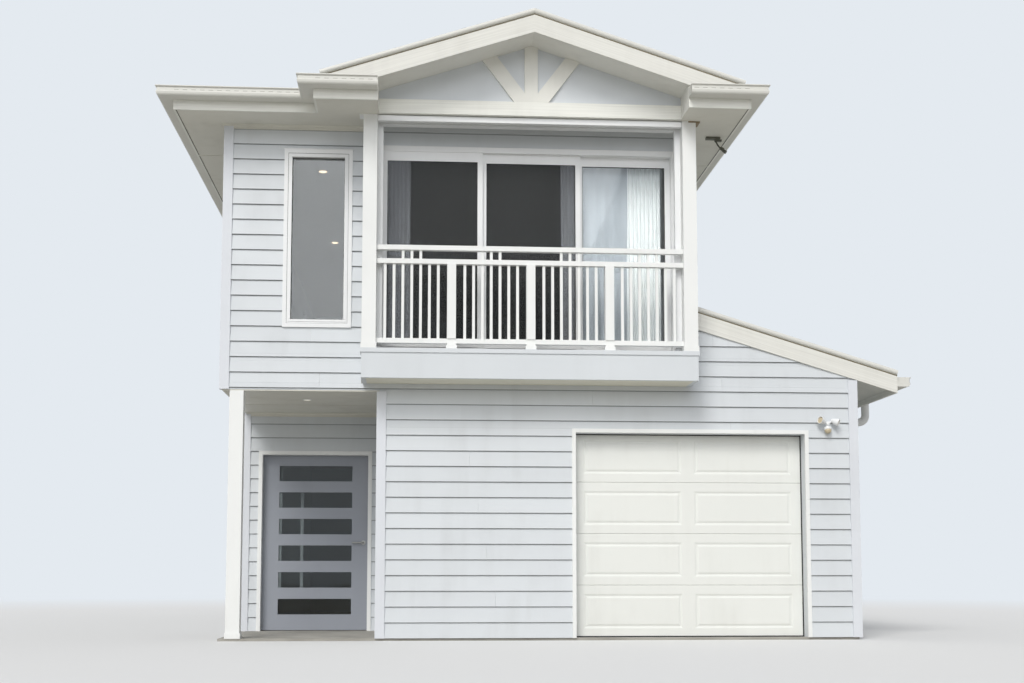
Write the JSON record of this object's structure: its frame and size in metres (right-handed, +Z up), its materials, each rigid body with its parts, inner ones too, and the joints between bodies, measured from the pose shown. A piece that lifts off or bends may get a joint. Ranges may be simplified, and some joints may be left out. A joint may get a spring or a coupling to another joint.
{
  "type": "two-storey weatherboard beach house",
  "caption": "Weatherboard house with a hipped roof, a gabled balcony over a garage with a lean-to roof, and a recessed porch.",
  "frame": {"origin": "centre of the house's plan at ground level, between the outer faces of its outside walls", "axes": "+Z up; +Y from the front, with the garage door and balcony, to the rear; +X to the right seen from the front"},
  "size_m": [7.871, 12.69, 6.5155],
  "materials": {
    "boards": "satin",
    "cream_trim": "satin",
    "cream_timber": "painted",
    "roof_sheet": "satin",
    "lining": "painted board",
    "white_timber": "painted",
    "white_metal": "powder coated",
    "door_sheet": "satin",
    "door_grey": "painted",
    "glazing": "clear",
    "steel": "satin",
    "platform": "framing with lining",
    "concrete": "plain concrete",
    "cloth": "sheer"
  },
  "bodies": {
    "house": {"ground_slab": "concrete", "garage_front_wall": "boards", "porch_side_wall": "boards", "entry_wall_left": "boards", "entry_wall_over": "boards", "lower_left_wall": "boards", "lower_rear_wall": "boards", "lower_right_wall": "boards", "garage_side_wall": "boards", "garage_rear_wall": "boards", "upper_floor": "platform", "upper_front_wall": "boards", "upper_left_wall": "boards", "upper_rear_wall": "boards", "upper_right_wall": "boards", "upper_step_wall": "boards", "ceiling": "lining", "eave_lining": "lining", "main_roof": "roof_sheet", "gable_roof": "roof_sheet", "garage_roof": "roof_sheet", "fascia_boards": "cream_trim", "gutters": "cream_trim", "downpipes": "cream_trim", "barge_boards": "cream_trim", "roof_capping": "cream_trim", "gable_wall": "boards", "gable_timbers": "cream_timber", "balcony_beam": "cream_timber", "balcony_floor": "platform", "balcony_rim": "boards", "balcony_posts": "white_timber", "balustrade_rails": "white_timber", "balusters": "white_timber", "blind_box": "white_metal", "slider_frame": "white_metal", "slider_panels": "white_metal", "slider_glass": "glazing", "window_frames": "white_timber", "window_glass": "glazing", "corner_boards": "boards", "porch_post": "white_timber", "entry_frame": "white_timber", "hinge_pins": "steel", "garage_door_trim": "white_timber", "garage_door": "door_sheet", "light_fittings": "white_metal", "curtains": "cloth"},
    "entry_door": {"entry_leaf": "door_grey", "entry_glass": "glazing", "entry_hardware": "steel"}
  },
  "joints": [
    {"name": "entry_hinge", "type": "hinge", "parent": "house", "child": "entry_door", "pos_m": [-3.103, -3.352, 1.03], "axis": [0, 0, 1], "range_deg": [0, 90]}
  ]
}
